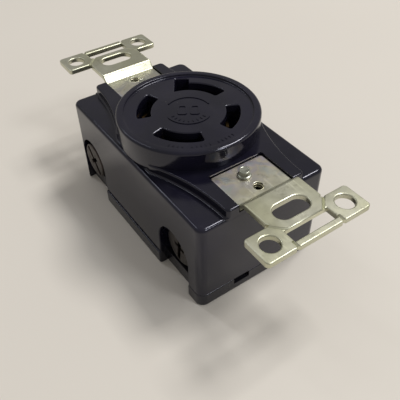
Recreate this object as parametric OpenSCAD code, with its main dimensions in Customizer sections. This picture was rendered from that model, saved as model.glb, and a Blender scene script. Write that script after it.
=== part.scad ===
// Flush-mount four-wire twist-lock receptacle, rated 30 A at 125/250 V.
// Origin: on the centre line, midway between the two box screws, in the plane of the
// backs of the plaster ears. +Z points out of the wall, +Y along the mounting brackets.

/* [Body] */
// Width of the moulded body across the terminals
body_w = 39.8; // [39:0.1:40.5]
// Length of the moulded body
body_l = 67; // [66:0.1:68]
// Radius of the body's upright corners
body_corner_r = 2.4; // [1.5:0.1:4]
// Radius of the body's front edges
body_edge_r = 1; // [0.6:0.1:1.4]
// Height of the shoulders beside the raised deck
shoulder_z = -2.4; // [-3:0.1:-1.5]
// Height of the raised deck that carries the brackets
deck_z = 0.1; // [0:0.1:0.6]
// Half width of the deck at the ends of the body
deck_half_w = 12; // [11:0.1:13]
// Radius of the flare that widens the deck towards the face
deck_flare_r = 54.3; // [50:0.1:60]
// Height of the seam between housing and base
seam_z = -27.1; // [-28:0.1:-26]
// Height of the back of the base
back_z = -31.4; // [-33:0.1:-30]
// Radius of the base's back edges
back_edge_r = 0.5; // [0.3:0.1:1]

/* [Face] */
// Radius of the round face
face_r = 19.7; // [19.2:0.1:20]
// Height of the rim of the face
face_z = 5.5; // [4.5:0.1:6.5]
// Width of the raised rim
rim_w = 2.1; // [1.5:0.1:3]
// Depth of the face below its rim
face_recess = 0.7; // [0.3:0.1:1]
// Thickness of the face over the contacts
face_wall = 2.2; // [1.8:0.1:3]
// Inner radius of the blade slots
slot_in_r = 10.3; // [10:0.1:11]
// Outer radius of the blade slots
slot_out_r = 14; // [13.5:0.1:14.2]
// Outer radius of the ground slot's foot
foot_out_r = 16.2; // [15.5:0.1:16.5]
// Width of the ground slot's foot
foot_w = 4; // [3.5:0.1:4.5]
// Outer radius of the ring in the middle of the face
ring_r = 6.4; // [5:0.1:8]

/* [Brackets] */
// Thickness of the steel
steel_t = 1.6; // [1.5:0.1:1.7]
// Width of the plate on the deck
plate_w = 16.6; // [16:0.1:17]
// Distance from the centre to the inner edge of a plate
plate_in_y = 21.1; // [20.8:0.1:22]
// Height of the plate's top
plate_z = -0.5; // [-0.6:0.1:0]
// Distance from the centre to the outer edge of the ears
ear_out_y = 51.75; // [51:0.05:53]
// Half of the bracket's width across the ears
ear_out_x = 15.4; // [15:0.1:16.5]
// Distance between the two box screws
box_screw_spacing = 83.3; // [83.1:0.1:83.5]
// Length of a box-screw slot
box_slot_l = 10; // [9:0.1:11]
// Width of a box-screw slot
box_slot_w = 5; // [4.6:0.1:5.4]
// Distance between the two cover-plate screws
cover_screw_spacing = 60.3; // [60:0.1:60.6]
// Radius of the tapped holes for the cover-plate screws
cover_screw_r = 1.4; // [1.3:0.05:1.5]
// Radius of the holes in the ears
ear_hole_r = 2.4; // [2:0.1:2.6]
// Distance across the body between the ear holes
ear_hole_x_spacing = 22.5; // [22:0.1:23]
// Distance along the body between the ear holes
ear_hole_y_spacing = 94.9; // [94.5:0.1:95.2]

/* [Rivets] */
// Distance along the body from the centre to a through rivet
rivet_y = 25.2; // [25:0.1:26]
// Distance of a through rivet from the centre line
rivet_x = 0.5; // [0:0.1:1]
// Radius of a rivet's shank
rivet_r = 1.5; // [1.2:0.1:1.6]

/* [Terminals] */
// Distance from the centre to the terminals at the bottom end
terminal_low_y = 21; // [20.5:0.1:21.5]
// Distance from the centre to the terminals at the top end
terminal_high_y = 24.7; // [24:0.1:24.9]
// Height of the terminal screws
terminal_z = -19.8; // [-20.5:0.1:-19]
// Radius of the arched terminal recess
recess_r = 6.9; // [6.6:0.1:7]
// Radius of a terminal screw's head
head_r = 5.5; // [5:0.1:5.8]
// Thickness of a terminal screw's head
head_t = 2.5; // [2:0.1:2.6]
// Radius of a terminal screw's shank
shank_r = 2.4; // [2.2:0.05:2.5]
// Outer face of the low screws' heads, from the middle of the body
low_head_x = 18; // [17:0.1:19]
// Outer face of the high screws' heads, from the middle of the body
high_head_x = 19.8; // [18:0.1:20]
// Side of a square pressure plate
clamp_plate_w = 9; // [8:0.1:9.2]

/* [Contacts] */
// Space between a jaw's two leaves
jaw_gap = 2.2; // [1.8:0.1:2.4]
// Thickness of the contact brass
brass_t = 0.8; // [0.7:0.1:0.8]
// Thickness of the spring steel
spring_t = 0.35; // [0.2:0.05:0.35]
// Height of the bottom of the jaws
jaw_floor_z = -16.8; // [-18:0.1:-16]

/* [Hidden] */
$fn = 96;
eps = 0.01;
big = 60;

body_h = shoulder_z - seam_z;
base_h = seam_z - back_z;
face_top = face_z - face_recess;
well_top = face_top - face_wall;
slot_mid_r = (slot_in_r + slot_out_r) / 2;
jaw_in_r = slot_mid_r - jaw_gap / 2 - brass_t;
jaw_out_r = slot_mid_r + jaw_gap / 2 + brass_t;
jaw_top_z = well_top - 3;
well_in_r = jaw_in_r - spring_t - 0.15;
well_out_r = jaw_out_r + spring_t + 0.15;
tab_in_x = 10.8;
tab_out_x = 12;
tab_half_w = 4.6;
tab_top_z = terminal_z + 4.8;
tab_bottom_z = terminal_z - 5.5;
tab_fit = 0.05;
arm_in_x = 8;
arm_start_y = 8;
clamp_plate_t = 1.2;
clamp_gap = 0.1;
shank_l = 8;
shank_pocket_x = 5;
strip_t = 0.8;
strip_w = 7;
flange_out = 0.4;
base_notch_x = 17.7;
rivet_bore_r = rivet_r + 0.1;
rivet_sink_r = 3.4;
rivet_sink = 1.6;
wire_hole_r = 2.1;
wire_hole_x = 13.9;
wire_hole_off = 3.4;
tongue_half_w = 8.4;
tongue_y = 43.3;
tongue_end_y = 46.4;
tongue_end_half_w = 5.4;
ear_in_y = 43.2;
window_half_w = 6.4;
window_in_y = 46.5;
window_out_y = 50;
bend_y = 33;
bend_run = 1.7;

// Start and end of each blade slot, in degrees from +X
X_SLOT = [111, 160];
W_SLOT = [195, 253];
Y_SLOT = [288, 336];
G_SLOT = [9, 72];
G_JAW = [9, 53];
G_FOOT_SIDE = 56;

// Side of the body, end of the body, and place of the screw head, for each terminal
X_END = [-1, terminal_high_y, high_head_x];
W_END = [-1, -terminal_low_y, low_head_x];
Y_END = [1, -terminal_low_y, low_head_x];
G_END = [1, terminal_high_y, high_head_x];
SLOTS = [X_SLOT, W_SLOT, Y_SLOT, G_SLOT];
ENDS = [X_END, W_END, Y_END, G_END];

// ---- shared outlines ----

// Rectangle with four round corners
module round_rect(w, l, r) {
    square([w - 2 * r, l], center = true);
    square([w, l - 2 * r], center = true);
    for (x = [-1, 1], y = [-1, 1])
        translate([x * (w / 2 - r), y * (l / 2 - r)]) circle(r);
}

// Rectangle from y = 0 up to h with its two upper corners rounded
module arched_top(w, h, r) {
    translate([-w / 2, 0]) square([w, h - r]);
    translate([-w / 2 + r, 0]) square([w - 2 * r, h]);
    for (x = [-1, 1])
        translate([x * (w / 2 - r), h - r]) circle(r);
}

// Part of a flat ring between two angles less than 180 degrees apart
module arc_band(r_in, r_out, angles) {
    mid = (angles[0] + angles[1]) / 2;
    far = big / cos((angles[1] - angles[0]) / 2);
    intersection() {
        difference() {
            circle(r_out);
            circle(r_in);
        }
        polygon([[0, 0], far * [cos(angles[0]), sin(angles[0])],
                 far * [cos(mid), sin(mid)], far * [cos(angles[1]), sin(angles[1])]]);
    }
}

// Extrudes an outline drawn in (Y, Z) along X, from x0 to x1
module along_x(x0, x1) {
    translate([x0, 0, 0]) rotate([90, 0, 90]) linear_extrude(x1 - x0) children();
}

// Extrudes an outline drawn in (X, Z) along the whole length of the body
module along_y() {
    translate([0, big, 0]) rotate([90, 0, 0]) linear_extrude(2 * big) children();
}

// A block that reaches outwards from the middle of one side of the body
module side_box(side, x0, x1, y0, y1, z0, z1) {
    translate([side > 0 ? x0 : -x1, min(y0, y1), z0])
        cube([x1 - x0, abs(y1 - y0), z1 - z0]);
}

// A cylinder whose axis runs across the body
module side_rod(side, x0, x1, y, z, r) {
    translate([side > 0 ? x0 : -x1, y, z]) rotate([0, 90, 0]) cylinder(h = x1 - x0, r = r);
}

// Moves a shape onto the axis of the top (1) or bottom (-1) rivet
module at_rivet(dir, z) {
    translate([dir * rivet_x, dir * rivet_y, z]) children();
}

// ---- moulded housing ----

module body_block() {
    intersection() {
        translate([0, 0, seam_z]) linear_extrude(body_h) round_rect(body_w, body_l, body_corner_r);
        along_y() translate([0, seam_z]) arched_top(body_w, body_h, body_edge_r);
        along_x(-big, big) translate([0, seam_z]) arched_top(body_l, body_h, body_edge_r);
    }
}

module deck_outline() {
    difference() {
        square([body_w - 2 * body_edge_r, body_l], center = true);
        for (x = [-1, 1], y = [-1, 1])
            translate([x * (deck_half_w + deck_flare_r), y * body_l / 2]) circle(deck_flare_r, $fn = 360);
    }
}

module deck() {
    intersection() {
        translate([0, 0, shoulder_z - body_edge_r])
            linear_extrude(deck_z - shoulder_z + body_edge_r) deck_outline();
        along_x(-big, big)
            translate([0, seam_z]) arched_top(body_l, deck_z - seam_z, body_edge_r);
    }
}

module face_profile() {
    edge_r = 0.8;
    difference() {
        union() {
            translate([0, shoulder_z - body_edge_r])
                square([face_r, face_z - edge_r - shoulder_z + body_edge_r]);
            translate([0, face_z - 2 * edge_r]) square([face_r - edge_r, 2 * edge_r]);
            translate([face_r - edge_r, face_z - edge_r]) circle(edge_r);
        }
        translate([-eps, face_top]) square([face_r - rim_w + eps, face_recess + eps]);
    }
}

module face_disc() {
    rotate_extrude($fn = 180) face_profile();
    translate([0, 0, face_top - eps]) difference() {
        cylinder(h = 0.25, r = ring_r);
        translate([0, 0, -eps]) cylinder(h = 0.5, r = ring_r - 0.5);
    }
}

// The square foot at one end of the ground slot
module slot_foot() {
    intersection() {
        difference() {
            circle(foot_out_r);
            circle(slot_in_r);
        }
        rotate(G_FOOT_SIDE) square([big, foot_w]);
    }
}

module blade_slots() {
    translate([0, 0, well_top - 1]) linear_extrude(face_z - well_top + 2) {
        for (s = SLOTS)
            arc_band(slot_in_r, slot_out_r, s);
        slot_foot();
    }
}

module contact_wells() {
    translate([0, 0, seam_z - 1]) linear_extrude(well_top - seam_z + 1) {
        for (s = SLOTS)
            arc_band(well_in_r, well_out_r, s + [-2.5, 2.5]);
        slot_foot();
    }
}

// Arched recess, screw pocket and arm channel for one terminal
module terminal_room(end) {
    side = end[0];
    y = end[1];
    dir = sign(y);
    intersection() {
        along_x(-big, big) {
            translate([y, terminal_z]) circle(recess_r);
            translate([y - recess_r, seam_z - 1]) square([2 * recess_r, terminal_z - seam_z + 1]);
        }
        side_box(side, tab_in_x, big, -big, big, seam_z - 1, 0);
    }
    side_rod(side, shank_pocket_x, tab_in_x + eps, y, terminal_z, shank_r + 0.5);
    side_box(side, arm_in_x - 0.3, tab_out_x + 0.3, dir * (arm_start_y - 0.5),
             y - dir * (tab_half_w - 1.7), seam_z - 1, jaw_floor_z + brass_t + 0.1);
}

module bracket_seat() {
    for (dir = [-1, 1])
        translate([0, dir * (plate_in_y + big / 2 - 0.15), plate_z - steel_t])
            linear_extrude(big) square([plate_w + 0.3, big], center = true);
}

module front_housing() {
    color([0.09, 0.09, 0.12]) difference() {
        union() {
            difference() {
                union() {
                    body_block();
                    deck();
                }
                bracket_seat();
            }
            face_disc();
        }
        blade_slots();
        contact_wells();
        for (e = ENDS) terminal_room(e);
        translate([0, 0, seam_z - 1]) cylinder(h = 1 - seam_z + 1, r = well_in_r - 1.7);
        for (dir = [-1, 1]) {
            at_rivet(dir, seam_z - 1) cylinder(h = big, r = rivet_bore_r);
            translate([0, dir * cover_screw_spacing / 2, plate_z - steel_t - 12])
                cylinder(h = big, r = 2);
        }
        ground_strip_room();
    }
}

// Groove in the back of the housing that holds the ground strip
module ground_strip_room() {
    translate([-strip_w / 2 - 0.2, -rivet_y - 3.7, seam_z - 1])
        cube([strip_w + 0.4, 2 * rivet_y + 7.4, strip_t + 1.1]);
    side_box(1, 0, tab_out_x + 0.3, 14.2, 17.2, seam_z - 1, seam_z + strip_t + 0.1);
}

// ---- base ----

module base_block() {
    intersection() {
        translate([0, 0, back_z]) linear_extrude(base_h) round_rect(body_w, body_l, body_corner_r);
        along_y() mirror([0, 1]) translate([0, -seam_z]) arched_top(body_w, base_h, back_edge_r);
        along_x(-big, big) mirror([0, 1]) translate([0, -seam_z]) arched_top(body_l, base_h, back_edge_r);
    }
}

module base_flange() {
    y0 = -terminal_low_y + recess_r;
    y1 = terminal_high_y - recess_r;
    intersection() {
        translate([-body_w / 2 - flange_out, y0, back_z]) cube([body_w + 2 * flange_out, y1 - y0, base_h]);
        along_y() mirror([0, 1]) translate([0, -seam_z])
            arched_top(body_w + 2 * flange_out, base_h, back_edge_r);
    }
}

// Ribs that stand in the wells and hold the jaws forward
module contact_ribs() {
    translate([0, 0, seam_z - eps]) linear_extrude(jaw_floor_z - spring_t - seam_z + eps)
        for (s = [X_SLOT, W_SLOT, Y_SLOT, G_JAW]) arc_band(jaw_in_r, jaw_out_r, s + [3, -3]);
}

module back_base() {
    color([0.08, 0.08, 0.1]) difference() {
        union() {
            base_block();
            base_flange();
            contact_ribs();
        }
        for (e = ENDS) {
            side_box(e[0], base_notch_x, big, e[1] - recess_r, e[1] + recess_r, back_z - 1, 0);
            for (k = [-1, 1])
                translate([e[0] * wire_hole_x, e[1] + k * wire_hole_off, back_z - 1])
                    cylinder(h = base_h + 2, r = wire_hole_r);
        }
        for (dir = [-1, 1]) {
            at_rivet(dir, back_z - 1) cylinder(h = big, r = rivet_bore_r);
            at_rivet(dir, back_z - 1) cylinder(h = rivet_sink + 1, r = rivet_sink_r);
            // Pry slot in the seam
            translate([dir * 6.35 - 2.55, dir > 0 ? body_l / 2 - 1.5 : -body_l / 2 - 1, seam_z - 2])
                cube([5.1, 2.5, 3]);
        }
    }
}

// ---- brackets ----

module bracket_outline() {
    corner = 1;
    nick_x = 6.8;
    half = [[tongue_half_w, bend_y], [tongue_half_w, ear_in_y], [ear_out_x - corner, ear_in_y],
            [ear_out_x, ear_in_y + corner], [ear_out_x, ear_out_y - corner],
            [ear_out_x - corner, ear_out_y]];
    other_half = [for (i = [len(half) - 1:-1:0]) [-half[i][0], half[i][1]]];
    difference() {
        union() {
            translate([-plate_w / 2 + corner, plate_in_y]) square([plate_w - 2 * corner, 5]);
            translate([-plate_w / 2, plate_in_y + corner]) square([plate_w, bend_y + 1 - plate_in_y]);
            for (x = [-1, 1])
                translate([x * (plate_w / 2 - corner), plate_in_y + corner]) circle(corner);
            polygon(concat(half, other_half));
        }
        polygon([[-window_half_w, window_out_y], [window_half_w, window_out_y],
                 [window_half_w, window_in_y], [tongue_end_half_w, tongue_end_y],
                 [-tongue_end_half_w, tongue_end_y], [-window_half_w, window_in_y]]);
        for (x = [-1, 1]) {
            translate([x * nick_x, ear_out_y]) rotate(45) square(0.9, center = true);
            translate([x * (tongue_half_w + 0.1), ear_in_y - 0.2]) rotate(45) square(0.9, center = true);
            translate([x * ear_hole_x_spacing / 2, ear_hole_y_spacing / 2]) circle(ear_hole_r);
            translate([x * (box_slot_l - box_slot_w) / 2, box_screw_spacing / 2]) circle(box_slot_w / 2);
        }
        translate([0, box_screw_spacing / 2]) square([box_slot_l - box_slot_w, box_slot_w], center = true);
        translate([0, cover_screw_spacing / 2]) circle(cover_screw_r);
        translate([rivet_x, rivet_y]) circle(rivet_bore_r);
    }
}

// Side view of the bracket: plate on the deck, joggle past the body's end, ears in the wall plane
module bracket_side() {
    rise = steel_t - plate_z;
    slope = bend_run / rise;
    under = steel_t * (norm([bend_run, rise]) - bend_run) / rise;
    shift = steel_t * (norm([bend_run, rise]) - rise) / bend_run;
    polygon([[0, plate_z - steel_t], [bend_y + slope * under, plate_z - steel_t],
             [bend_y + bend_run + slope * under, 0], [big, 0], [big, steel_t],
             [bend_y + bend_run, steel_t], [bend_y, plate_z], [0, plate_z]]);
}

// Scored lines across which the ears break off
module ear_scores() {
    depth = 0.45;
    for (x = [-1, 1]) {
        dx = tongue_half_w - tongue_end_half_w;
        dy = tongue_end_y - tongue_y;
        translate([x * (tongue_half_w + tongue_end_half_w) / 2, (tongue_y + tongue_end_y) / 2, steel_t])
            rotate([0, 0, x * atan2(dy, -dx)]) rotate([45, 0, 0])
                cube([norm([dx, dy]) + 1.5, depth * sqrt(2), depth * sqrt(2)], center = true);
        translate([x * 6.8, (window_out_y + ear_out_y) / 2, steel_t]) rotate([0, 45, 0])
            cube([depth * sqrt(2), 3, depth * sqrt(2)], center = true);
    }
}

module bracket() {
    difference() {
        intersection() {
            translate([0, 0, -10]) linear_extrude(20) bracket_outline();
            along_x(-big / 2, big / 2) bracket_side();
        }
        ear_scores();
    }
}

module strap_top() {
    color([0.74, 0.74, 0.6]) bracket();
}

module strap_bottom() {
    color([0.74, 0.74, 0.6]) rotate([0, 0, 180]) bracket();
}

// ---- through rivets ----

module rivet(dir) {
    head_z = back_z + 0.3;
    at_rivet(dir, head_z) cylinder(h = 0.8, r = 2.6);
    at_rivet(dir, head_z) cylinder(h = plate_z - head_z + 0.5, r = rivet_r);
    at_rivet(dir, plate_z) cylinder(h = 0.6, r = 1.85);
    at_rivet(dir, plate_z) cylinder(h = 2, r = 1.4);
}

module rivet_washer(dir) {
    at_rivet(dir, back_z + 1.1) difference() {
        cylinder(h = rivet_sink - 1.1, r = 3);
        translate([0, 0, -1]) cylinder(h = 4, r = rivet_bore_r);
    }
}

module rivet_top() {
    color([0.7, 0.72, 0.66]) rivet(1);
}

module rivet_bottom() {
    color([0.7, 0.72, 0.66]) rivet(-1);
}

module rivet_washer_top() {
    color([0.66, 0.67, 0.66]) rivet_washer(1);
}

module rivet_washer_bottom() {
    color([0.66, 0.67, 0.66]) rivet_washer(-1);
}

// ---- ground strip ----

// Joins both brackets, through their rivets, to the ground contact
module ground_strip() {
    leg_y = [15.2, 16];
    color([0.72, 0.7, 0.62]) difference() {
        union() {
            translate([-strip_w / 2, -rivet_y - 3.5, seam_z]) cube([strip_w, 2 * rivet_y + 7, strip_t]);
            side_box(1, 0, tab_out_x, 14.4, leg_y[1], seam_z, seam_z + strip_t);
            side_box(1, arm_in_x, tab_out_x, leg_y[0], leg_y[1], seam_z, jaw_floor_z);
        }
        for (dir = [-1, 1])
            at_rivet(dir, seam_z - 1) cylinder(h = 3, r = rivet_bore_r);
    }
}

// ---- contacts ----

// Two curved leaves on a floor, an arm along the side, and a tapped tab behind the screw
module contact(angles, end) {
    side = end[0];
    y = end[1];
    dir = sign(y);
    difference() {
        union() {
            translate([0, 0, jaw_floor_z]) linear_extrude(jaw_top_z - jaw_floor_z) {
                arc_band(jaw_in_r, jaw_in_r + brass_t, angles);
                arc_band(jaw_out_r - brass_t, jaw_out_r, angles);
            }
            translate([0, 0, jaw_floor_z]) linear_extrude(brass_t) arc_band(jaw_in_r, jaw_out_r, angles);
            side_box(side, arm_in_x, tab_out_x, dir * arm_start_y, y - dir * (tab_half_w - 1.4),
                     jaw_floor_z, jaw_floor_z + brass_t);
            side_box(side, tab_in_x, tab_out_x, y - tab_half_w, y + tab_half_w, tab_bottom_z, tab_top_z);
        }
        side_rod(side, 0, big, y, terminal_z, shank_r + tab_fit);
    }
}

module contact_x() {
    color([0.8, 0.66, 0.36]) contact(X_SLOT, X_END);
}

module contact_y() {
    color([0.8, 0.66, 0.36]) contact(Y_SLOT, Y_END);
}

module contact_w() {
    color([0.8, 0.66, 0.36]) contact(W_SLOT, W_END);
}

module contact_g() {
    color([0.8, 0.66, 0.36]) contact(G_JAW, G_END);
}

// ---- jaw springs ----

// Steel clip round the outside of a jaw, with a window for the contact's arm
module jaw_spring(angles, end) {
    span = angles + [4, -4];
    dir = sign(end[1]);
    bottom = jaw_floor_z - spring_t;
    difference() {
        translate([0, 0, bottom]) {
            linear_extrude(spring_t) arc_band(jaw_in_r - spring_t, jaw_out_r + spring_t, span);
            linear_extrude(jaw_top_z - bottom - 4) {
                arc_band(jaw_in_r - spring_t, jaw_in_r, span);
                arc_band(jaw_out_r, jaw_out_r + spring_t, span);
            }
        }
        side_box(end[0], arm_in_x - 0.2, tab_out_x + 0.2, dir * arm_start_y, dir * 20,
                 jaw_floor_z, jaw_floor_z + brass_t + 0.4);
    }
}

module jaw_spring_x() {
    color([0.62, 0.64, 0.66]) jaw_spring(X_SLOT, X_END);
}

module jaw_spring_y() {
    color([0.62, 0.64, 0.66]) jaw_spring(Y_SLOT, Y_END);
}

module jaw_spring_w() {
    color([0.62, 0.64, 0.66]) jaw_spring(W_SLOT, W_END);
}

module jaw_spring_g() {
    color([0.62, 0.64, 0.66]) jaw_spring(G_JAW, G_END);
}

// ---- terminal clamps ----

// Square plate that the screw carries and that presses the wire on the tab
module pressure_plate(end) {
    out_x = end[2] - head_t - clamp_gap;
    corner = 1.2;
    difference() {
        intersection() {
            side_box(end[0], out_x - clamp_plate_t, out_x, -big, big, -big, big);
            along_x(-big, big) translate([end[1], terminal_z])
                round_rect(clamp_plate_w, clamp_plate_w, corner);
        }
        side_rod(end[0], 0, big, end[1], terminal_z, shank_r + 0.35);
    }
}

// Large binding-head screw with a straight slot and a cross
module terminal_screw(end) {
    side = end[0];
    under = end[2] - head_t;
    difference() {
        union() {
            side_rod(side, under, end[2], end[1], terminal_z, head_r);
            side_rod(side, under - shank_l, under + eps, end[1], terminal_z, shank_r);
        }
        side_box(side, end[2] - 1.1, end[2] + 1, end[1] - 0.65, end[1] + 0.65,
                 terminal_z - 4.2, terminal_z + 4.2);
        side_box(side, end[2] - 1.5, end[2] + 1, end[1] - 2.2, end[1] + 2.2,
                 terminal_z - 0.6, terminal_z + 0.6);
    }
}

module pressure_plate_x() {
    color([0.62, 0.6, 0.55]) pressure_plate(X_END);
}

module pressure_plate_y() {
    color([0.62, 0.6, 0.55]) pressure_plate(Y_END);
}

module pressure_plate_w() {
    color([0.62, 0.6, 0.55]) pressure_plate(W_END);
}

module pressure_plate_g() {
    color([0.62, 0.6, 0.55]) pressure_plate(G_END);
}

module terminal_screw_x() {
    color([0.36, 0.33, 0.32]) terminal_screw(X_END);
}

module terminal_screw_y() {
    color([0.36, 0.33, 0.32]) terminal_screw(Y_END);
}

module terminal_screw_w() {
    color([0.45, 0.45, 0.46]) terminal_screw(W_END);
}

module terminal_screw_g() {
    color([0.16, 0.36, 0.22]) terminal_screw(G_END);
}

front_housing();
back_base();
strap_top();
strap_bottom();
rivet_top();
rivet_bottom();
rivet_washer_top();
rivet_washer_bottom();
ground_strip();
contact_x();
contact_y();
contact_w();
contact_g();
jaw_spring_x();
jaw_spring_y();
jaw_spring_w();
jaw_spring_g();
pressure_plate_x();
pressure_plate_y();
pressure_plate_w();
pressure_plate_g();
terminal_screw_x();
terminal_screw_y();
terminal_screw_w();
terminal_screw_g();
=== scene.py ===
import math

import bpy
import bmesh
from mathutils import Vector, Matrix
from mathutils.geometry import tessellate_polygon


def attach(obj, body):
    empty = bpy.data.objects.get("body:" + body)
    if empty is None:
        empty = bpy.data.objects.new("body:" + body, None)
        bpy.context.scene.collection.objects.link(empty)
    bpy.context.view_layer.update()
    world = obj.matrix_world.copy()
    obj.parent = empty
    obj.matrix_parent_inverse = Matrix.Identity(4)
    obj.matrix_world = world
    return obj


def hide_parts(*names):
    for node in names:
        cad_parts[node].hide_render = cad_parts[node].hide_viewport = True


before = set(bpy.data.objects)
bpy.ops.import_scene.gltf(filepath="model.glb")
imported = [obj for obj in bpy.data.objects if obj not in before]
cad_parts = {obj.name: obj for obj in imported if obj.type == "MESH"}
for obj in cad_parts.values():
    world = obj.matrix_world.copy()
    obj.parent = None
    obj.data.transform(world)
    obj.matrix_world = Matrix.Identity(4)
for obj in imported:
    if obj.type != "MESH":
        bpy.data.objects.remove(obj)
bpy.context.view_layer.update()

# ---- front housing -------------------------------------------------------------------
# The housing is one thermoset moulding, blue-black and glossy, with the round face, the
# deck under the brackets and the low shoulders all in one piece. The blade slots, wells
# and arched terminal recesses are cored out in the mould, so every edge has a small radius.

MM = 0.001
body_w, body_l = 39.8, 67.0
body_corner = 2.4
body_edge = 1.0
shoulder_z, deck_z, seam_z, back_z = -2.4, 0.1, -27.1, -31.4
deck_half_w, deck_flare = 12.0, 54.3
face_r, face_z, rim_w, face_drop = 19.7, 5.5, 2.1, 0.7
face_floor = face_z - face_drop
well_top = face_floor - 2.2
slot_in, slot_out, foot_out = 10.3, 14.0, 16.2
well_in, well_out = 9.75, 14.55
blade_angles = {"x": (111, 160), "w": (195, 253), "y": (288, 336), "g": (9, 72)}
foot_side, foot_w = 56, 4.0
terminal_z = -19.8
terminals = {"x": (-1, 24.7, 19.8), "w": (-1, -21.0, 18.0),
             "y": (1, -21.0, 18.0), "g": (1, 24.7, 19.8)}
recess_r = 6.9
tab_x = 10.8
rivet_at = (0.5, 25.2)
plate_w, plate_in_y, plate_z, steel = 16.6, 21.1, -0.5, 1.6


def solid(name, rings, cap_first=True, cap_last=True):
    """A closed body lofted through rings of points given in millimetres."""
    mesh = bmesh.new()
    loops = [[mesh.verts.new(Vector(p) * MM) for p in ring] for ring in rings]
    count = len(loops[0])
    for low, high in zip(loops, loops[1:]):
        for i in range(count):
            j = (i + 1) % count
            mesh.faces.new((low[i], low[j], high[j], high[i]))
    if cap_first:
        mesh.faces.new(list(reversed(loops[0])))
    if cap_last:
        mesh.faces.new(loops[-1])
    bmesh.ops.recalc_face_normals(mesh, faces=mesh.faces)
    return as_object(name, mesh)


def as_object(name, mesh):
    data = bpy.data.meshes.new(name)
    mesh.to_mesh(data)
    mesh.free()
    piece = bpy.data.objects.new(name, data)
    bpy.context.scene.collection.objects.link(piece)
    return piece


def arc(cx, cy, r, a0, a1, steps):
    """Points along a circle's arc, both ends included, angles in degrees."""
    return [(cx + r * math.cos(math.radians(a0 + (a1 - a0) * i / steps)),
             cy + r * math.sin(math.radians(a0 + (a1 - a0) * i / steps))) for i in range(steps + 1)]


def rounded_rect(w, l, r, steps=8):
    pts = []
    for sx, sy, a in ((1, 1, 0), (-1, 1, 90), (-1, -1, 180), (1, -1, 270)):
        pts += arc(sx * (w / 2 - r), sy * (l / 2 - r), r, a, a + 90, steps)
    return pts


def quarter(r, steps=6, upto=90):
    """(set-in, rise) pairs up a rounded edge of radius r."""
    return [(r * (1 - math.cos(math.radians(upto * i / steps))),
             r * math.sin(math.radians(upto * i / steps))) for i in range(steps + 1)]


def flat_ring(outline, z):
    return [(x, y, z) for x, y in outline]


def lathe(name, profile, steps=128, centre=(0, 0)):
    """A turned body from (radius, height) pairs."""
    return solid(name, [[(centre[0] + r * math.cos(2 * math.pi * i / steps),
                          centre[1] + r * math.sin(2 * math.pi * i / steps), z)
                         for i in range(steps)] for r, z in profile])


def boolean(target, cutter, how):
    step = target.modifiers.new("cut", "BOOLEAN")
    step.operation = how
    step.solver = "EXACT"
    step.object = cutter
    apply_modifiers(target)
    bpy.data.objects.remove(cutter, do_unlink=True)


def apply_modifiers(piece):
    graph = bpy.context.evaluated_depsgraph_get()
    made = bpy.data.meshes.new_from_object(piece.evaluated_get(graph))
    piece.modifiers.clear()
    piece.data = made


def cut(target, cutter):
    boolean(target, cutter, "DIFFERENCE")


def fuse(target, other):
    boolean(target, other, "UNION")


def block(name, x0, x1, y0, y1, z0, z1):
    return solid(name, [[(x0, y0, z), (x1, y0, z), (x1, y1, z), (x0, y1, z)] for z in (z0, z1)])


def rod(name, r, z0, z1, x=0.0, y=0.0, steps=40):
    return lathe(name, [(r, z0), (r, z1)], steps, (x, y))


def cross_rod(name, side, x0, x1, y, z, r, steps=40):
    """A round bar across the body."""
    return solid(name, [[(side * x, y + r * math.cos(2 * math.pi * i / steps),
                          z + r * math.sin(2 * math.pi * i / steps)) for i in range(steps)]
                        for x in (x0, x1)])


def finish_edges(piece, angle=32):
    """Smooth shading that keeps flats flat and real edges crisp."""
    piece.data.shade_smooth()
    piece.data.set_sharp_from_angle(angle=math.radians(angle))
    even = piece.modifiers.new("even shading", "WEIGHTED_NORMAL")
    even.keep_sharp = True
    even.weight = 80


def body_rings(w, l, corner, z_from, z_to, edge_first, edge_last):
    """Rings of a moulded block with both rims rounded."""
    rings = []
    rise = 1 if z_to > z_from else -1
    for inset, up in reversed(quarter(edge_first, 4)):
        rings.append(flat_ring(rounded_rect(w - 2 * inset, l - 2 * inset, corner - inset),
                               z_from + rise * (edge_first - up)))
    for inset, up in quarter(edge_last, 8):
        rings.append(flat_ring(rounded_rect(w - 2 * inset, l - 2 * inset, corner - inset),
                               z_to - rise * (edge_last - up)))
    return rings


def deck_half(y):
    """Half width of the deck, which flares towards the face but stays under it."""
    flare = deck_half_w + deck_flare - math.sqrt(deck_flare ** 2 - (body_l / 2 - abs(y)) ** 2)
    return min(flare, 18.0)


def deck_ring(z, grow, end_inset, corner=1.2):
    """The deck's outline, standing grow outside its sides and end_inset inside its ends."""
    half_l = body_l / 2 - end_inset
    r = max(corner - end_inset * 0.5, 0.4)
    side = [(deck_half(y) + grow, y) for y in
            [(half_l - r) * (-1 + 2 * i / 60) for i in range(61)]]
    w = deck_half(half_l) + grow
    pts = side + arc(w - r, half_l - r, r, 0, 90, 6)[1:]
    pts += [(-x, y) for x, y in reversed(pts)]
    pts += [(-x, -y) for x, y in arc(w - r, half_l - r, r, 0, 90, 6)[1:]]
    pts += [(x, -y) for x, y in reversed(arc(w - r, half_l - r, r, 0, 90, 6)[1:-1])]
    return flat_ring(pts, z)


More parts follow.
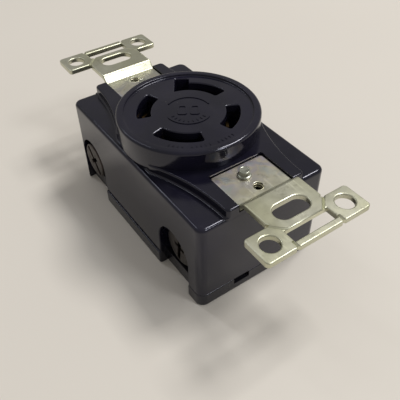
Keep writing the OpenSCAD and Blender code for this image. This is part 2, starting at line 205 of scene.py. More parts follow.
def band_outline(r_in, r_out, a0, a1, grow=0.0, corner=0.5):
    """A curved slot with rounded corners, grown outwards by grow."""
    r_mid = (r_in + r_out) / 2
    mid = math.radians((a0 + a1) / 2)
    half_arc = math.radians(a1 - a0) / 2 * r_mid + grow
    half_w = (r_out - r_in) / 2 + grow
    corner += grow
    flat = []
    for su, sv, a in ((1, 1, 0), (-1, 1, 90), (-1, -1, 180), (1, -1, 270)):
        flat += arc(su * (half_w - corner), sv * (half_arc - corner), corner, a, a + 90, 4)
    pts = []
    for (u0, v0), (u1, v1) in zip(flat, flat[1:] + flat[:1]):
        count = max(1, int(abs(v1 - v0) / 0.8))
        for k in range(count):
            u, v = u0 + (u1 - u0) * k / count, v0 + (v1 - v0) * k / count
            a = mid + v / r_mid
            pts.append(((r_mid + u) * math.cos(a), (r_mid + u) * math.sin(a)))
    return pts


def turn(points, degrees):
    c, s = math.cos(math.radians(degrees)), math.sin(math.radians(degrees))
    return [(x * c - y * s, x * s + y * c) for x, y in points]


def mouth_cutter(name, outline_for, z_low, z_lip, lip):
    """A slot cutter whose mouth opens out over a rounded lip."""
    rings = [flat_ring(outline_for(0.0), z_low)]
    for inset, up in quarter(lip, 5, 80):
        rings.append(flat_ring(outline_for(inset), z_lip - lip + up))
    rings.append(flat_ring(outline_for(lip), z_lip + 3))
    return solid(name, rings)


housing = solid("housing", body_rings(body_w, body_l, body_corner, seam_z, shoulder_z, 0.32, body_edge))

deck_levels = [deck_ring(shoulder_z - 1.9, 0.6, 0.02)]
for inset, up in quarter(0.6, 5):
    deck_levels.append(deck_ring(shoulder_z + inset, 0.6 - up, 0.02))
for inset, up in quarter(0.5, 6):
    deck_levels.append(deck_ring(deck_z - 0.5 + up, -inset, 0.02 + inset))
fuse(housing, solid("deck", deck_levels))

for end in (1, -1):
    y0, y1 = sorted((end * (plate_in_y - 0.15), end * 45))
    cut(housing, block("seat", -plate_w / 2 - 0.15, plate_w / 2 + 0.15, y0, y1, plate_z - steel, 10))

disc_profile = [(face_r - 0.4, shoulder_z - 1.5), (face_r - 0.4, shoulder_z + 0.3),
                (face_r - 0.1, shoulder_z + 1.1)]
disc_profile += [(face_r - inset, face_z - 0.8 + up) for inset, up in quarter(0.8, 7)]
disc_profile += [(face_r - rim_w + inset, face_z - 0.3 + up) for inset, up in reversed(quarter(0.3, 4))]
disc_profile += [(face_r - rim_w - inset, face_floor + 0.35 - up) for inset, up in quarter(0.35, 4)]
fuse(housing, lathe("disc", disc_profile, 160))

for key, (a0, a1) in blade_angles.items():
    cut(housing, mouth_cutter("slot", lambda g: band_outline(slot_in, slot_out, a0, a1, g),
                              well_top - 1, face_floor, 0.4))


def foot_outline(grow):
    """The ground slot's foot, from the slot's inner curve out past its outer one."""
    corner, r_in = 0.5 + grow, slot_in - grow + 0.02
    low, high, end = -grow, foot_w + grow, foot_out + grow
    pts = arc(end - corner, low + corner, corner, -90, 0, 4)
    pts += arc(end - corner, high - corner, corner, 0, 90, 4)
    for k in range(9):
        v = high + (low - high) * k / 8
        pts.append((math.sqrt(r_in ** 2 - v ** 2), v))
    return turn(pts, foot_side)


cut(housing, mouth_cutter("foot", foot_outline, well_top - 1, face_floor, 0.4))
cut(housing, solid("foot well", [flat_ring(foot_outline(0.0), z) for z in (seam_z - 1, well_top + 0.2)]))
for key, (a0, a1) in blade_angles.items():
    cut(housing, solid("well", [flat_ring(band_outline(well_in, well_out, a0 - 2.5, a1 + 2.5), z)
                                for z in (seam_z - 1, well_top)]))

for key, (side, y, head_x) in terminals.items():
    # Arched recess with a softened mouth
    def arch(x, grow):
        r = recess_r + grow
        pts = arc(y, terminal_z, r, 0, 180, 28)
        pts = [(y + r, seam_z - 1)] + pts + [(y - r, seam_z - 1)]
        return [(side * x, v, z) for v, z in pts]

    mouth = [arch(tab_x, 0), arch(body_w / 2 - 0.3, 0)]
    mouth += [arch(body_w / 2 - 0.3 + up, inset) for inset, up in quarter(0.3, 3, 80)]
    mouth += [arch(body_w / 2 + 3, 0.3)]
    cut(housing, solid("recess", mouth))
    cut(housing, cross_rod("shank pocket", side, 5, tab_x + 0.1, y, terminal_z, 2.9))
    x0, x1 = sorted((side * 7.7, side * 12.3))
    y0, y1 = sorted((math.copysign(7.5, y), y - math.copysign(2.9, y)))
    cut(housing, block("arm channel", x0, x1, y0, y1, seam_z - 1, -15.9))

cut(housing, rod("centre pocket", 8.05, seam_z - 1, 1.0, steps=64))
for end in (1, -1):
    cut(housing, rod("rivet bore", 1.6, seam_z - 1, 20, end * rivet_at[0], end * rivet_at[1]))
    cut(housing, rod("screw relief", 2.0, -14.1, 20, 0, end * 30.15))
cut(housing, block("strip groove", -3.7, 3.7, -29.2, 29.2, seam_z - 1, seam_z + 0.9))
cut(housing, block("leg groove", 0, 12.3, 14.2, 17.2, seam_z - 1, seam_z + 0.9))

# Raised relief on the face: a broken ring, a small frame in the middle and short ticks
relief = []
for a0, a1 in ((28, 152), (208, 332)):
    relief.append([band_outline(6.05, 6.5, a0, a1, 0, 0.15), 0.2])
for end in (1, -1):
    frame_pts = [(x + end * 1.7, y) for x, y in rounded_rect(2.6, 4.2, 0.7, 4)]
    relief.append([frame_pts, 0.2])
for k in range(9):
    a = 214 + k * 14
    relief.append([turn([(x + 5.0, y) for x, y in rounded_rect(0.9, 0.28, 0.1, 2)], a), 0.15])
for k in range(16):
    a = 252 + k * 4.2
    if k % 6 != 4:
        relief.append([turn([(x + 15.9, y) for x, y in rounded_rect(0.9, 0.25, 0.1, 2)], a), 0.15])
relief_turn = -34
for outline, height in relief:
    placed = turn(outline, relief_turn)
    mark_rings = [flat_ring(placed, face_floor - 0.2), flat_ring(placed, face_floor + height)]
    fuse(housing, solid("mark", mark_rings))
for end in (1, -1):
    inner = [(x + end * 1.7, y) for x, y in rounded_rect(1.7, 3.3, 0.4, 4)]
    placed = turn(inner, relief_turn)
    cut(housing, solid("mark hollow", [flat_ring(placed, face_floor), flat_ring(placed, face_floor + 1)]))

housing.name = housing.data.name = "moulded_housing"
finish_edges(housing)


class Paint:
    """A node material built up from a few plain steps."""

    def __init__(self, name):
        self.material = bpy.data.materials.new(name)
        self.material.use_nodes = True
        self.tree = self.material.node_tree
        self.skin = self.tree.nodes["Principled BSDF"]
        self.place = self.tree.nodes.new("ShaderNodeTexCoord").outputs["Object"]

    def link(self, a, b):
        self.tree.links.new(a, b)

    def noise(self, scale, detail=3.0, stretch=None, rough=0.5, distort=0.0):
        node = self.tree.nodes.new("ShaderNodeTexNoise")
        node.inputs["Scale"].default_value = scale
        node.inputs["Detail"].default_value = detail
        node.inputs["Roughness"].default_value = rough
        node.inputs["Distortion"].default_value = distort
        source = self.place
        if stretch:
            mapping = self.tree.nodes.new("ShaderNodeMapping")
            mapping.inputs["Scale"].default_value = stretch["scale"]
            mapping.inputs["Rotation"].default_value = stretch.get("turn", (0, 0, 0))
            self.link(source, mapping.inputs["Vector"])
            source = mapping.outputs["Vector"]
        self.link(source, node.inputs["Vector"])
        return node.outputs["Fac"]

    def range(self, value, lo, hi, to_lo, to_hi):
        node = self.tree.nodes.new("ShaderNodeMapRange")
        for socket, number in zip(("From Min", "From Max", "To Min", "To Max"), (lo, hi, to_lo, to_hi)):
            node.inputs[socket].default_value = number
        self.link(value, node.inputs["Value"])
        return node.outputs["Result"]

    def ramp(self, value, stops):
        node = self.tree.nodes.new("ShaderNodeValToRGB")
        bands = node.color_ramp.elements
        while len(bands) < len(stops):
            bands.new(0.5)
        for band, (at, colour) in zip(bands, stops):
            band.position = at
            band.color = (*colour, 1)
        self.link(value, node.inputs["Fac"])
        return node.outputs["Color"]

    def mix(self, factor, a, b):
        node = self.tree.nodes.new("ShaderNodeMix")
        node.data_type = "RGBA"
        for socket, thing in ((node.inputs[6], a), (node.inputs[7], b)):
            if isinstance(thing, tuple):
                socket.default_value = (*thing, 1)
            else:
                self.link(thing, socket)
        if isinstance(factor, float):
            node.inputs[0].default_value = factor
        else:
            self.link(factor, node.inputs[0])
        return node.outputs[2]

    def maths(self, how, a, b=None):
        node = self.tree.nodes.new("ShaderNodeMath")
        node.operation = how
        for socket, thing in zip(node.inputs, (a, b)):
            if thing is None:
                continue
            if isinstance(thing, (int, float)):
                socket.default_value = thing
            else:
                self.link(thing, socket)
        return node.outputs[0]

    # Mask of the rounded edges, found by pointiness, used to paint a highlight along them.
    def painted_edge_highlight(self, lo=0.52, hi=0.6):
        node = self.tree.nodes.new("ShaderNodeNewGeometry")
        return self.range(node.outputs["Pointiness"], lo, hi, 0.0, 1.0)

    def bump(self, height, strength, depth):
        node = self.tree.nodes.new("ShaderNodeBump")
        node.inputs["Strength"].default_value = strength
        node.inputs["Distance"].default_value = depth
        self.link(height, node.inputs["Height"])
        self.link(node.outputs["Normal"], self.skin.inputs["Normal"])

    def set(self, **values):
        for name, value in values.items():
            self.skin.inputs[name.replace("_", " ")].default_value = value

    def colour(self, thing):
        self.link(thing, self.skin.inputs["Base Color"])

    def rough(self, thing):
        self.link(thing, self.skin.inputs["Roughness"])


def moulded_plastic(name, dark, light, rough_lo, rough_hi):
    """Glossy moulded thermoset with faint flow marks, handling scuffs and a little dust."""
    paint = Paint(name)
    flow = paint.noise(60, 4, distort=0.4)
    base = paint.mix(paint.range(flow, 0.35, 0.7, 0.0, 1.0), dark, light)
    dust = paint.noise(900, 6, rough=0.7)
    specks = paint.range(dust, 0.66, 0.74, 0.0, 1.0)
    haze = paint.range(paint.noise(150, 5), 0.45, 0.75, 0.0, 0.05)
    base = paint.mix(haze, base, (0.10, 0.098, 0.10))
    base = paint.mix(paint.maths("MULTIPLY", specks, 0.18), base, (0.25, 0.24, 0.23))
    paint.colour(base)
    rubbed = paint.noise(700, 3, {"scale": (1, 0.06, 1), "turn": (0, 0, 0.5)})
    scuffs = paint.range(rubbed, 0.62, 0.74, 0.0, 0.08)
    smear = paint.range(paint.noise(90, 5, rough=0.6), 0.3, 0.75, rough_lo, rough_hi)
    paint.rough(paint.maths("ADD", smear, scuffs))
    paint.bump(paint.noise(1400, 4), 0.25, 0.00002)
    paint.set(IOR=1.52, Specular_Tint=(0.86, 0.87, 1.0, 1.0))
    return paint.material


housing_plastic = moulded_plastic("blue_black_moulding", (0.005, 0.005, 0.010), (0.008, 0.007, 0.018),
                                  0.09, 0.22)
housing.data.materials.clear()
housing.data.materials.append(housing_plastic)
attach(housing, "receptacle")
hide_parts("front_housing")

# ---- back base ------------------------------------------------------------------------
# The base is a second moulding, black and a little duller, that closes the housing from
# behind. It has a pry slot at each end of the seam, wire holes under the terminals, and a
# slightly wider waist between them; two rivets pull it against the housing.

base = solid("base", body_rings(body_w, body_l, body_corner, seam_z, back_z, 0.32, 0.5))
waist_y0, waist_y1 = -21.0 + recess_r, 24.7 - recess_r
waist_w = body_w + 0.8


def waist_ring(inset, z):
    pts = rounded_rect(waist_w - 2 * inset, waist_y1 - waist_y0, 0.5, 3)
    return flat_ring([(x, y + (waist_y0 + waist_y1) / 2) for x, y in pts], z)


waist = [waist_ring(inset, seam_z - 0.25 + up) for inset, up in reversed(quarter(0.25, 3))]
waist += [waist_ring(inset, back_z + 0.5 - up) for inset, up in quarter(0.5, 4)]
fuse(base, solid("waist", waist))
for key, (a0, a1) in blade_angles.items():
    top_angle = 53 if key == "g" else a1
    fuse(base, solid("rib", [flat_ring(band_outline(10.25, 14.05, a0 + 3, top_angle - 3), z)
                             for z in (seam_z - 0.5, -17.15)]))
for key, (side, y, head_x) in terminals.items():
    x0, x1 = sorted((side * 17.7, side * 30))
    cut(base, block("notch", x0, x1, y - recess_r, y + recess_r, back_z - 1, seam_z + 1))
    for off in (3.4, -3.4):
        hole = [(2.1 + inset, back_z + 0.35 - up) for inset, up in quarter(0.35, 4, 80)]
        hole = [(2.1, seam_z + 1)] + hole + [(2.45, back_z - 1)]
        cut(base, lathe("wire hole", hole, 32, (side * 13.9, y + off)))
for end in (1, -1):
    x, y = end * rivet_at[0], end * rivet_at[1]
    cut(base, rod("rivet bore", 1.6, back_z - 1, 20, x, y))
    sink = [(3.4 + inset, back_z + 0.2 - up) for inset, up in quarter(0.2, 3, 80)]
    cut(base, lathe("rivet sink", [(3.4, back_z + 1.6)] + sink + [(3.6, back_z - 1)], 48, (x, y)))
    y0, y1 = sorted((end * (body_l / 2 - 1.5), end * (body_l / 2 + 2)))
    cut(base, block("pry slot", end * 6.35 - 2.55, end * 6.35 + 2.55, y0, y1, seam_z - 2, seam_z + 1))

base.name = base.data.name = "moulded_base"
finish_edges(base)
base.data.materials.clear()
base_plastic = moulded_plastic("black_moulding", (0.007, 0.007, 0.010), (0.011, 0.010, 0.014), 0.18, 0.34)
base.data.materials.append(base_plastic)
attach(base, "receptacle")
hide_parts("back_base")

# ---- mounting brackets ------------------------------------------------------------------
# Each bracket is stamped from 1.6 mm steel, zinc plated with a pale yellow-green chromate.
# It lies in a seat in the deck, joggles up past the body's end, and carries two plaster
# ears on scored links that snap off. The cover-plate hole is tapped 6-32.

bend_y, bend_run = 33.0, 1.7
ear_out_y, ear_in_y, ear_x = 51.75, 43.2, 15.4
tongue_w, tongue_end_w, tongue_end_y = 8.4, 5.4, 46.4
box_screw_y, cover_screw_y = 41.65, 30.15


def stamped(loops, thick):
    """Flat sheet from z = 0 to thick; each loop, outline first, comes with its edge radius."""
    mesh = bmesh.new()
    shrunk = []
    for place, (loop, edge) in enumerate(loops):
        area = sum(a[0] * b[1] - b[0] * a[1] for a, b in zip(loop, loop[1:] + loop[:1]))
        if (area < 0) == (place == 0):
            loop = loop[::-1]
        count = len(loop)
        normals = []
        for i in range(count):
            p, q, r = Vector(loop[i - 1]), Vector(loop[i]), Vector(loop[(i + 1) % count])
            d0, d1 = (q - p).normalized(), (r - q).normalized()
            n0, n1 = Vector((-d0.y, d0.x)), Vector((-d1.y, d1.x))
            mitre = n0 + n1
            normals.append(mitre / max(mitre.dot(n0), 0.35))
        layers = [(edge + 0.06, 0)] + [(inset, edge - up) for inset, up in reversed(quarter(edge, 3))]
        layers += [(inset, thick - edge + up) for inset, up in quarter(edge, 3)] + [(edge + 0.06, thick)]
        rings = [[mesh.verts.new(Vector((*(Vector(p) + n * inset), z)) * MM)
                  for p, n in zip(loop, normals)] for inset, z in layers]
        for low, high in zip(rings, rings[1:]):
            for i in range(count):
                j = (i + 1) % count
                mesh.faces.new((low[i], low[j], high[j], high[i]))
        shrunk.append((rings[0], rings[-1]))
    for which in (0, 1):
        verts = [v for pair in shrunk for v in pair[which]]
        flat = [[Vector((v.co.x, v.co.y, 0)) for v in pair[which]] for pair in shrunk]
        for tri in tessellate_polygon(flat):
            corners = [verts[i] for i in tri]
            if len(set(corners)) == 3:
                mesh.faces.new(corners)
    bmesh.ops.recalc_face_normals(mesh, faces=mesh.faces)
    return mesh


def bracket_outline():
    half = [(plate_w / 2 - 1, plate_in_y)] + arc(plate_w / 2 - 1, plate_in_y + 1, 1, -90, 0, 5)[1:]
    half += [(plate_w / 2, bend_y - 0.2), (tongue_w, bend_y + 0.1)]
    half += [(tongue_w, ear_in_y - 0.75), (tongue_w - 0.55, ear_in_y - 0.2), (tongue_w, ear_in_y + 0.1),
             (tongue_w + 0.7, ear_in_y)]
    half += arc(ear_x - 1, ear_in_y + 1, 1, -90, 0, 4)
    half += arc(ear_x - 1, ear_out_y - 1, 1, 0, 90, 4)
    half += [(7.4, ear_out_y), (6.8, ear_out_y - 0.6), (6.2, ear_out_y)]
    return half + [(-x, y) for x, y in reversed(half)]


def circle(x, y, r, steps=28):
    return arc(x, y, r, 0, 360, steps)[:-1]


def bracket(name, end):
    window = [(-6.4, 50.0), (6.4, 50.0), (6.4, 46.5), (tongue_end_w, tongue_end_y),
              (-tongue_end_w, tongue_end_y), (-6.4, 46.5)]
    slot = arc(2.5, box_screw_y, 2.5, -90, 90, 14) + arc(-2.5, box_screw_y, 2.5, 90, 270, 14)
    loops = [(bracket_outline(), 0.3), (window, 0.3), (slot, 0.35), (circle(0, cover_screw_y, 1.4), 0.12),
             (circle(rivet_at[0], rivet_at[1], 1.6), 0.12)]
    loops += [(circle(s * 11.25, 47.45, 2.4, 36), 0.35) for s in (1, -1)]
    mesh = stamped(loops, steel)
    rise = steel - plate_z
    for k in range(-3, 12):
        place = bend_y + bend_run * k / 8
        bmesh.ops.bisect_plane(mesh, geom=mesh.verts[:] + mesh.edges[:] + mesh.faces[:],
                               plane_co=(0, place * MM, 0), plane_no=(0, 1, 0))
    for v in mesh.verts:
        t = (v.co.y / MM - bend_y + 0.4) / (bend_run + 0.8)
        t = min(max(t, 0), 1)
        smooth = t * t * (3 - 2 * t)
        v.co.z += (plate_z - steel + smooth * rise) * MM
    bmesh.ops.triangulate(mesh, faces=[f for f in mesh.faces if len(f.verts) > 4])
    if end < 0:
        bmesh.ops.rotate(mesh, verts=mesh.verts, cent=(0, 0, 0), matrix=Matrix.Rotation(math.pi, 3, "Z"))
    return as_object(name, mesh)


def zinc_plate(name, warm, pale, rainbow):
    """Zinc plate under a thin chromate film that drifts from straw to blue and violet."""
    paint = Paint(name)
    drift = paint.noise(55, 3, distort=0.8)
    film = paint.mix(paint.range(drift, 0.35, 0.65, 0.0, 1.0), warm, pale)
    split = paint.tree.nodes.new("ShaderNodeSeparateXYZ")
    paint.link(paint.place, split.inputs[0])
    away = paint.maths("ABSOLUTE", split.outputs["Y"])
    away = paint.maths("ADD", away, paint.range(drift, 0, 1, -0.006, 0.006))
    tint = paint.range(away, 0.021, 0.034, 1.0, 0.0)
    hues = paint.ramp(paint.range(paint.noise(160, 2, distort=1.2), 0.3, 0.7, 0, 1),
                      [(0.0, (0.40, 0.48, 0.55)), (0.35, (0.52, 0.47, 0.58)),
                       (0.65, (0.64, 0.57, 0.48)), (1.0, (0.46, 0.50, 0.55))])
    film = paint.mix(paint.maths("MULTIPLY", tint, rainbow), film, hues)
    dirt = paint.range(paint.noise(420, 6, rough=0.7), 0.56, 0.7, 0.0, 0.6)
    film = paint.mix(dirt, film, (0.30, 0.29, 0.21))
    # Painted highlight: rounded edges are lightened towards pale straw at half strength, and the flat
    # faces get none.
    facing = paint.tree.nodes.new("ShaderNodeSeparateXYZ")
    paint.link(paint.place.node.outputs["Normal"], facing.inputs[0])
    slant = paint.range(paint.maths("ABSOLUTE", facing.outputs["Z"]), 0.985, 0.9995, 0.5, 0.0)
    film = paint.mix(paint.maths("MULTIPLY", paint.painted_edge_highlight(), slant), film, (0.82, 0.83, 0.62))
    paint.colour(film)
    brush = paint.noise(1500, 3, {"scale": (1, 0.12, 1), "turn": (0, 0, 0.1)})
    scratches = paint.range(brush, 0.6, 0.7, 0.0, 0.08)
    paint.rough(paint.maths("ADD", paint.range(paint.noise(260, 4), 0.3, 0.7, 0.28, 0.38), scratches))
    paint.bump(paint.noise(900, 4), 0.15, 0.00002)
    paint.set(Metallic=0.92)
    return paint.material


def score_ring(x, y, angle, along, hand, end):
    """One end of a V groove cut along a line at the given angle, on one hand of the bracket."""
    c, s = math.cos(math.radians(angle)), math.sin(math.radians(angle))
    groove = [(-0.45, 0.02), (0.45, 0.02), (0.0, -0.43)]
    return [((x + c * along - s * off) * hand * end, (y + s * along + c * off) * end, steel + height)
            for off, height in groove]


score_lines = ((6.9, 44.85, math.degrees(math.atan2(3.1, -3.0)), 5.6), (6.8, 50.9, 90, 2.6))
bracket_zinc = zinc_plate("chromated_zinc", (0.50, 0.50, 0.36), (0.58, 0.58, 0.48), 0.8)
for node, end in (("strap_top", 1), ("strap_bottom", -1)):
    piece = bracket(node + "_stamped", end)
    for hand in (1, -1):
        # Each ear is scored across the tongue's chamfer and across the end bar
        for score_x, score_y, angle, length in score_lines:
            cut(piece, solid("score", [score_ring(score_x, score_y, angle, along, hand, end)
                                       for along in (-length / 2, length / 2)]))
    piece.name = piece.data.name = node + "_stamped"
    finish_edges(piece, 40)
    for face in piece.data.polygons:
        if abs(face.normal.z) > 0.9999:
            face.use_smooth = False
    piece.data.materials.clear()
    piece.data.materials.append(bracket_zinc)
    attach(piece, "receptacle")
    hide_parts(node)

# Tapped thread inside each cover-plate hole, a fine helical ridge of the same steel
thread_steel = zinc_plate("oily_tapped_steel", (0.34, 0.27, 0.19), (0.48, 0.42, 0.32), 0.0)
for node, end in (("top", 1), ("bottom", -1)):
    turns, steps, pitch, r_out, r_in = 2, 24, 0.79, 1.42, 1.12
    mesh = bmesh.new()
    rows = []
    for i in range(turns * steps + 1):
        a = 2 * math.pi * i / steps
        z = plate_z - steel + 0.01 + (steel - 0.02) * i / (turns * steps)
        ring = []
        for r, dz in ((r_out, -0.3), (r_in, 0.0), (r_out, 0.3)):
            zz = min(max(z + dz, plate_z - steel + 0.01), plate_z - 0.01)
            place = Vector((r * math.cos(a), end * cover_screw_y + r * math.sin(a), zz))
            ring.append(mesh.verts.new(place * MM))
        rows.append(ring)
    for a, b in zip(rows, rows[1:]):
        for k in range(3):
            quad = [a[k], a[(k + 1) % 3], b[(k + 1) % 3], b[k]]
            mesh.faces.new(quad)
    mesh.faces.new(rows[0])
    mesh.faces.new(rows[-1][::-1])
    bmesh.ops.recalc_face_normals(mesh, faces=mesh.faces)
    thread = as_object("tapped_thread_" + node, mesh)
    thread.data.shade_smooth()
    thread.data.materials.append(thread_steel)
    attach(thread, "receptacle")

# ---- through rivets -----------------------------------------------------------------------
# Two zinc-plated tubular rivets clamp the brackets, housing, ground strip and base. The
# front end has a small rolled collar and a flat end with a raised rim; the back end is a wide flat head
# that sits on a washer in its sink.


def rivet_zinc(name):
    paint = Paint(name)
    patches = paint.range(paint.noise(300, 4), 0.3, 0.7, 0, 1)
    tone = paint.mix(patches, (0.38, 0.40, 0.34), (0.56, 0.57, 0.49))
    grime = paint.range(paint.noise(900, 5), 0.48, 0.64, 0.0, 0.7)
    paint.colour(paint.mix(grime, tone, (0.13, 0.12, 0.10)))
    paint.rough(paint.range(paint.noise(800, 4), 0.3, 0.7, 0.2, 0.38))
    paint.bump(paint.noise(1500, 3), 0.3, 0.00002)
    paint.set(Metallic=0.95)
    return paint.material


rivet_finish = rivet_zinc("bright_zinc")
for node, end in (("rivet_top", 1), ("rivet_bottom", -1)):
    tail = back_z + 0.3
    profile = [(0.7, tail), (1.1, tail), (2.35, tail), (2.55, tail + 0.1), (2.6, tail + 0.3),
               (2.6, tail + 0.62), (2.5, tail + 0.8), (1.5, tail + 0.8), (1.5, plate_z - 0.05),
               (1.5, plate_z),
               (1.75, plate_z), (1.85, plate_z + 0.12), (1.85, plate_z + 0.4), (1.72, plate_z + 0.56),
               (1.5, plate_z + 0.6),
               (1.43, plate_z + 0.64), (1.4, plate_z + 0.72)]
    profile += [(1.4 - inset, plate_z + 1.8 + up) for inset, up in quarter(0.16, 4)]
    profile += [(1.12, plate_z + 1.94), (1.02, plate_z + 1.84), (0.4, plate_z + 1.8)]
    pin = lathe(node + "_set", profile, 48, (end * rivet_at[0], end * rivet_at[1]))
    finish_edges(pin, 40)
    pin.data.materials.append(rivet_finish)
    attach(pin, "receptacle")
    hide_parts(node)

# ---- washers and ground strip -----------------------------------------------------------------
# Under each rivet's wide head lies a plain washer. The ground strip joins both rivets and
# runs in a groove of the housing; it is blanked from 0.8 mm steel and bent up at one leg.


def broken_edges(node, width, material):
    """Takes the sharp edges off a stamped part and gives it its finish."""
    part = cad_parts[node]
    soft = part.modifiers.new("broken edges", "BEVEL")
    soft.width = width * MM
    soft.segments = 2
    soft.limit_method = "ANGLE"
    soft.angle_limit = math.radians(40)
    part.data.materials.clear()
    part.data.materials.append(material)


for node in ("rivet_washer_top", "rivet_washer_bottom"):
    broken_edges(node, 0.08, rivet_finish)
broken_edges("ground_strip", 0.08, zinc_plate("satin_zinc", (0.66, 0.65, 0.56), (0.72, 0.71, 0.66), 0.2))

# ---- contacts and jaw springs ---------------------------------------------------------------
# Each contact is rolled brass: two curved leaves that grip the blade, an arm, and a tapped
# tab for the terminal screw. A spring-steel clip wraps the leaves to keep their grip.


def brass_darkened_as_slot_shade(name):
    paint = Paint(name)
    patches = paint.range(paint.noise(120, 4, distort=0.5), 0.3, 0.7, 0, 1)
    # The brass tone is kept far darker than real brass to paint the shade deep in the blade slots; the
    # tarnish patches mixed in below are random.
    tone = paint.mix(patches, (0.20, 0.125, 0.05), (0.28, 0.185, 0.08))
    tarnish = paint.range(paint.noise(260, 6, rough=0.7), 0.5, 0.7, 0.0, 0.7)
    paint.colour(paint.mix(tarnish, tone, (0.07, 0.045, 0.025)))
    grain = paint.noise(1500, 3, {"scale": (1, 1, 0.05)})
    paint.rough(paint.range(grain, 0.3, 0.7, 0.22, 0.42))
    paint.bump(grain, 0.2, 0.00001)
    paint.set(Metallic=1.0)
    return paint.material


def spring_temper(name):
    paint = Paint(name)
    tone = paint.mix(paint.range(paint.noise(200, 4), 0.3, 0.7, 0, 1), (0.40, 0.41, 0.43), (0.5, 0.5, 0.5))
    paint.colour(tone)
    grain = paint.noise(1400, 3, {"scale": (1, 1, 0.05)})
    paint.rough(paint.range(grain, 0.3, 0.7, 0.25, 0.42))
    paint.bump(grain, 0.15, 0.00001)
    paint.set(Metallic=1.0)
    return paint.material


contact_brass, clip_steel = brass_darkened_as_slot_shade("contact_brass"), spring_temper("spring_temper")
for key in terminals:
    broken_edges("contact_" + key, 0.08, contact_brass)
    broken_edges("jaw_spring_" + key, 0.05, clip_steel)

# ---- terminal clamps -------------------------------------------------------------------------
# A wide binding-head screw carries a square pressure plate. The screw turns in the tapped
# tab and the plate rides along under its head, so turning it opens or closes the clamp.
# The hot screws are darkened brass plate, the neutral nickel, the ground screw green.

head_r, head_t, shank_r, shank_l = 5.5, 2.5, 2.4, 8.0
clamp_w, clamp_t, clamp_corner, clamp_gap = 9.0, 1.2, 1.2, 0.1


def across(side, x, outline, y, z):
    """A ring standing across the body at distance x from its middle."""
    return [(side * x, y + u, z + v) for u, v in outline]


def pressure_plate(name, side, y, head_x):
    x1 = head_x - head_t - clamp_gap
    x0 = x1 - clamp_t

    def layer(x, inset):
        width = clamp_w - 2 * inset
        return across(side, x, rounded_rect(width, width, clamp_corner - inset, 5), y, terminal_z)

    rings = [layer(x0 + 0.2 - up, inset) for inset, up in reversed(quarter(0.2, 3))]
    rings += [layer(x1 - 0.2 + up, inset) for inset, up in quarter(0.2, 3)]
    plate = solid(name, rings)
    cut(plate, cross_rod("hole", side, x0 - 1, x1 + 1, y, terminal_z, 2.75, 40))
    return plate


def terminal_screw(name, side, y, head_x, slot_turn):
    """Threaded shank and head in one turned piece, then the combination recess is struck."""
    under = head_x - head_t
    steps, pitch = 32, 25.4 / 32
    rings = []
    depth = 0.36
    slices = int(shank_l / pitch * 8)
    for i in range(slices + 1):
        x = under - shank_l + shank_l * i / slices
        lead = min(1.0, (x - (under - shank_l)) / 0.8)
        ring = []
        for j in range(steps):
            a = 2 * math.pi * j / steps
            phase = (x / pitch - a / (2 * math.pi)) % 1.0
            ridge = abs(phase - 0.5) * 2
            r = (shank_r - 0.02) - depth * ridge - 0.5 * (1 - lead)
            if x > under - 0.7:
                r = max(r, shank_r - 0.3)
            ring.append((side * x, y + r * math.cos(a), terminal_z + r * math.sin(a)))
        rings.append(ring)

    def disc(x, r, count):
        turns = [2 * math.pi * j / count for j in range(count)]
        return [(side * x, y + r * math.cos(a), terminal_z + r * math.sin(a)) for a in turns]

    rings.append(disc(under, shank_r, steps))
    screw = solid(name, rings)
    head_profile = [(under, head_r - 0.25), (under + 0.08, head_r - 0.06), (under + 0.25, head_r)]
    head_profile += [(head_x - 0.45 + up, head_r - i) for i, up in quarter(0.45, 6)]
    head_profile += [(head_x, head_r - 1.2)]
    head = solid("head", [disc(x, r, 72) for x, r in head_profile])
    fuse(head, screw)
    for half_y, half_z, deep in ((0.65, 4.9, 1.1), (2.2, 0.6, 1.5)):
        tool = []
        for x, g in ((head_x - deep, 0.0), (head_x - 0.15, 0.0), (head_x, 0.12), (head_x + 1, 0.12)):
            outline = turn(rounded_rect(2 * (half_y + g), 2 * (half_z + g), 0.25, 3), slot_turn)
            tool.append(across(side, x, outline, y, terminal_z))
        cut(head, solid("recess", tool))
    head.name = head.data.name = name
    return head


def plated_screw(name, tone_a, tone_b, grime, metallic, rough_lo, rough_hi):
    """Plated steel in patchy tones with stains from handling."""
    paint = Paint(name)
    tone = paint.mix(paint.range(paint.noise(240, 5), 0.3, 0.7, 0, 1), tone_a, tone_b)
    stain = paint.range(paint.noise(500, 6, rough=0.7), 0.48, 0.68, 0.0, 0.7)
    tone = paint.mix(stain, tone, grime)
    paint.colour(tone)
    paint.rough(paint.range(paint.noise(900, 4), 0.3, 0.7, rough_lo, rough_hi))
    paint.bump(paint.noise(1100, 4), 0.3, 0.00002)
    paint.set(Metallic=metallic)
    return paint.material


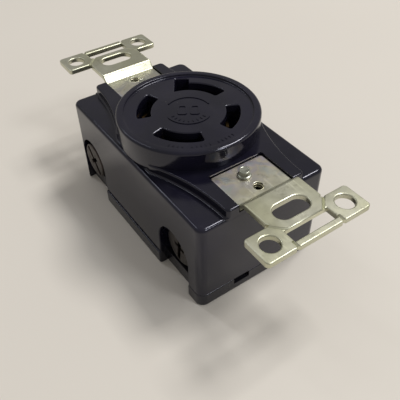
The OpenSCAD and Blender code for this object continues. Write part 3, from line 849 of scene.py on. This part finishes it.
screw_finishes = {
    "dark": plated_screw("darkened_brass_plate", (0.030, 0.023, 0.020), (0.050, 0.038, 0.033),
                         (0.015, 0.013, 0.012), 0.85, 0.30, 0.48),
    "silver": plated_screw("dull_nickel", (0.040, 0.034, 0.031), (0.065, 0.056, 0.051),
                           (0.018, 0.016, 0.015), 0.85, 0.28, 0.44),
    "green": plated_screw("green_lacquer", (0.015, 0.075, 0.035), (0.022, 0.105, 0.05),
                          (0.012, 0.03, 0.02), 0.3, 0.25, 0.4)}
screw_kind = {"x": "dark", "y": "dark", "w": "silver", "g": "green"}
slot_turns = {"x": -38, "y": 20, "w": 6, "g": -25}
plate_zinc = zinc_plate("clamp_zinc", (0.5, 0.48, 0.42), (0.6, 0.58, 0.52), 0.0)
for key, (side, y, head_x) in terminals.items():
    plate = pressure_plate("clamp_plate_" + key, side, y, head_x)
    plate.name = plate.data.name = "clamp_plate_" + key
    finish_edges(plate, 40)
    plate.data.materials.clear()
    plate.data.materials.append(plate_zinc)
    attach(plate, "clamp_" + key)
    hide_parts("pressure_plate_" + key)
    screw = terminal_screw("binding_screw_" + key, side, y, head_x, slot_turns[key])
    finish_edges(screw, 35)
    screw.data.materials.clear()
    screw.data.materials.append(screw_finishes[screw_kind[key]])
    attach(screw, "screw_" + key)
    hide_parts("terminal_screw_" + key)

# ---- table, light and camera --------------------------------------------------------------------
# The receptacle lies on its back on a pale table, under a soft ceiling panel off to its right,
# a weaker panel beyond its bottom end, and a narrow tube beyond its top end.

mesh = bmesh.new()
for x, y in ((-1, -1), (1, -1), (1, 1), (-1, 1)):
    mesh.verts.new((x * 1.2, y * 1.2, (back_z - 0.02) * MM))
mesh.faces.new(mesh.verts)
table = as_object("table", mesh)
paint = Paint("pale_table")
patches = paint.range(paint.noise(6, 3), 0.3, 0.7, 0, 1)
paint.colour(paint.mix(patches, (0.70, 0.66, 0.60), (0.72, 0.68, 0.62)))
paint.set(Roughness=0.6)
table.data.materials.append(paint.material)

world = bpy.data.worlds.new("soft room")
bpy.context.scene.world = world
world.use_nodes = True
world.node_tree.nodes["Background"].inputs["Color"].default_value = (1.0, 0.965, 0.92, 1)
world.node_tree.nodes["Background"].inputs["Strength"].default_value = 0.34
bpy.context.scene.view_settings.view_transform = "Standard"


def lamp(name, where, size, power, colour):
    """A soft rectangular lamp that faces the receptacle."""
    light = bpy.data.lights.new(name, "AREA")
    light.shape = "RECTANGLE"
    light.size, light.size_y = size
    light.energy = power
    light.color = colour
    held = bpy.data.objects.new(name, light)
    held.location = where
    held.rotation_euler = (-Vector(where)).to_track_quat("-Z", "Y").to_euler()
    bpy.context.scene.collection.objects.link(held)


lamp("overhead panel", (0.70, 0.02, 1.20), (0.4, 0.4), 10.4, (1.0, 0.98, 0.95))
lamp("front panel", (0.45, -1.0, 1.2), (0.3, 0.3), 5.3, (0.96, 0.98, 1.0))
lamp("left ceiling tube", (-0.16, 0.50, 0.62), (0.05, 0.4), 0.5, (0.92, 0.95, 1.0))

camera_data = bpy.data.cameras.new("camera")
camera_data.sensor_width = 36
camera_data.lens = 47.62
camera_data.clip_start, camera_data.clip_end = 0.01, 10
camera = bpy.data.objects.new("camera", camera_data)
camera.location = (-0.06519, -0.10058, 0.08611)
camera.rotation_euler = [math.radians(a) for a in (46.174, 0.674, -34.888)]
bpy.context.scene.collection.objects.link(camera)
bpy.context.scene.camera = camera
